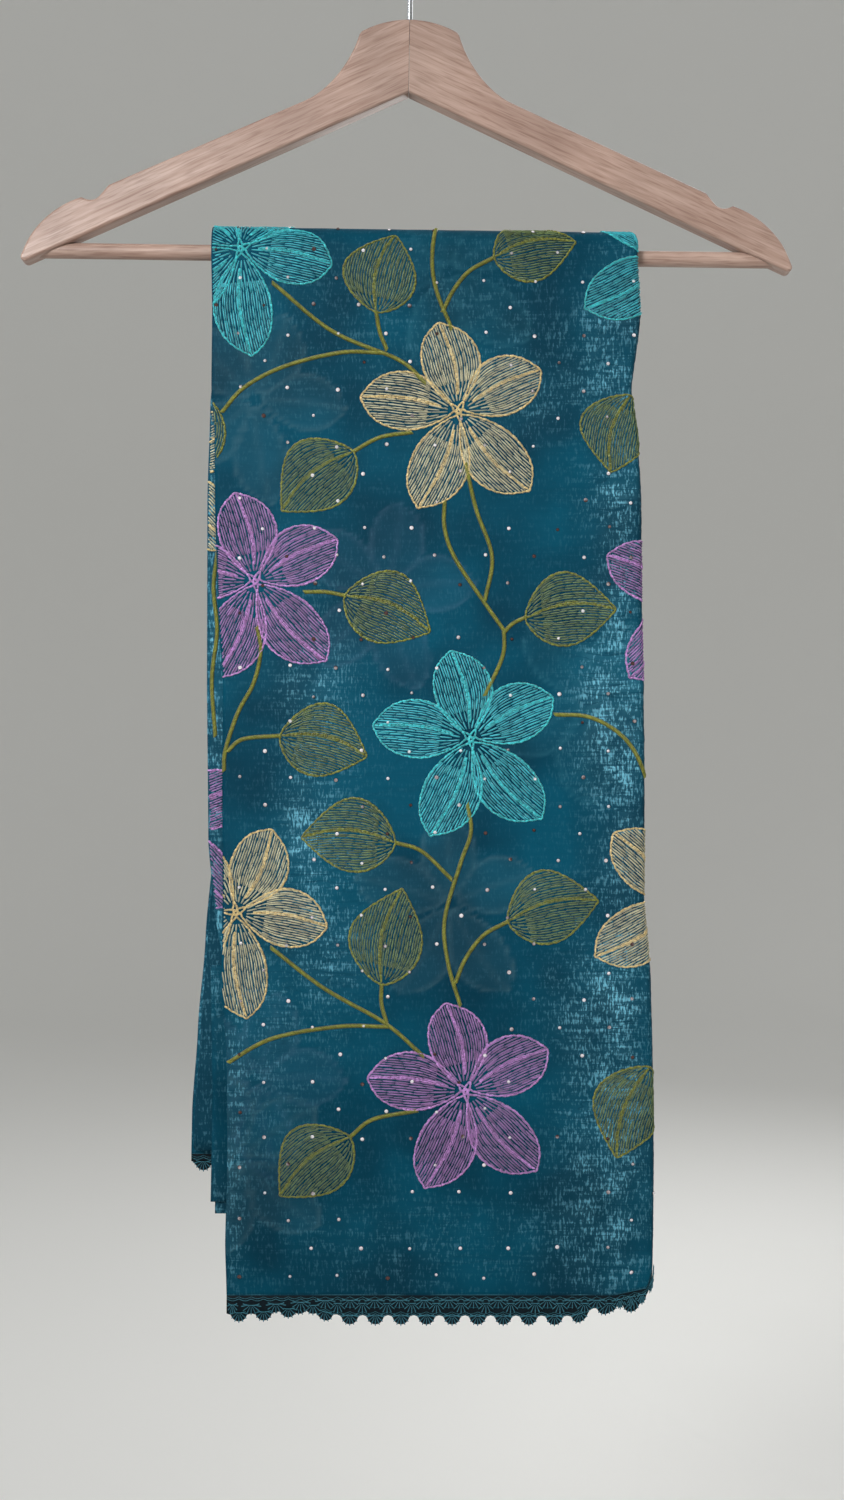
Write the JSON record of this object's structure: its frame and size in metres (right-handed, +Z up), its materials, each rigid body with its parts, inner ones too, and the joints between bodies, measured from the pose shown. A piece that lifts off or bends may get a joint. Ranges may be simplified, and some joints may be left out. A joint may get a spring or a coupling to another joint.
{
  "type": "embroidered saree on a wooden hanger",
  "caption": "Sheer teal saree with embroidered flowers, leaves and small stones, folded lengthwise and hung over the bar of a wooden hanger, with scalloped lace at its hems.",
  "frame": {"origin": "inside top of the hanger's hook, where a rail carries it", "axes": "+Z up, +X to the right seen from the front, +Y towards the back"},
  "size_m": [0.4446, 0.0305, 0.8193],
  "materials": {
    "wood": "satin lacquered pale hardwood",
    "bar_wood": "plain turned dowel",
    "steel": "bright wire",
    "saree_cloth": "crushed tissue silk with thread embroidery and small stones",
    "inner_cloth": "crushed tissue silk",
    "lace": "scalloped thread lace"
  },
  "bodies": {
    "root": {"hanger_arm_left": "wood", "hanger_arm_right": "wood", "hanger_bar": "bar_wood", "hanger_hook": "steel", "front_fall": "saree_cloth", "back_fall": "saree_cloth", "second_fall": "inner_cloth", "inner_folds": "inner_cloth", "under_layer_short": "inner_cloth", "under_layer_long": "inner_cloth", "lace_front": "lace", "lace_second": "lace", "lace_back": "lace"}
  },
  "joints": []
}
